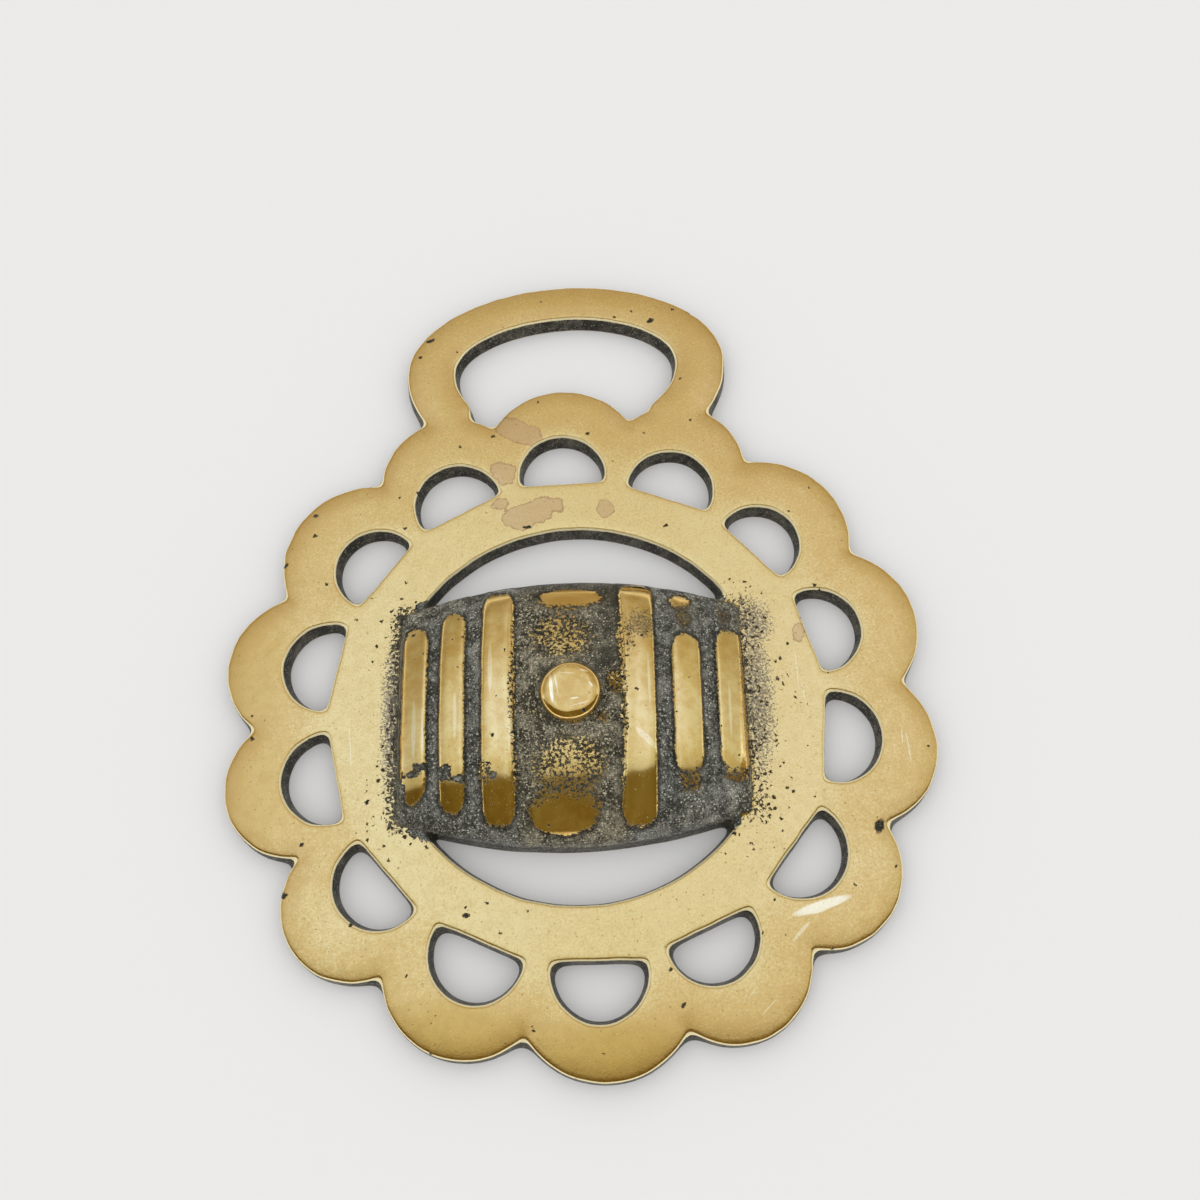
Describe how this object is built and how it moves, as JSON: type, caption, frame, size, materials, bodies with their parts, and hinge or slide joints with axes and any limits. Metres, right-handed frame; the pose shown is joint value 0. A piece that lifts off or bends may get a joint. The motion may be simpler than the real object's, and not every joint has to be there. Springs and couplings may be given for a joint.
{
  "type": "horse brass",
  "caption": "Flat pierced brass harness plaque: scalloped border with D-shaped openings round a ring, a cask in relief across it, and an oval hanger for a strap.",
  "frame": {"origin": "under the middle of the outline, on the flat back that the brass lies on", "axes": "+Z out of the decorated face, +Y from the middle towards the hanger, +X to the right as the face is looked at with the hanger at the top"},
  "size_m": [0.0788, 0.0948, 0.0103],
  "materials": {
    "brass": "cast yellow brass, hand-polished to a satin sheen on the high places, with fine scratches and small casting pits; dark grey-brown grime in the grooves, on the belly of the cask and round its ends; a few pinkish-brown tarnish stains"
  },
  "bodies": {
    "root": {"horse_brass": "brass"}
  },
  "joints": []
}
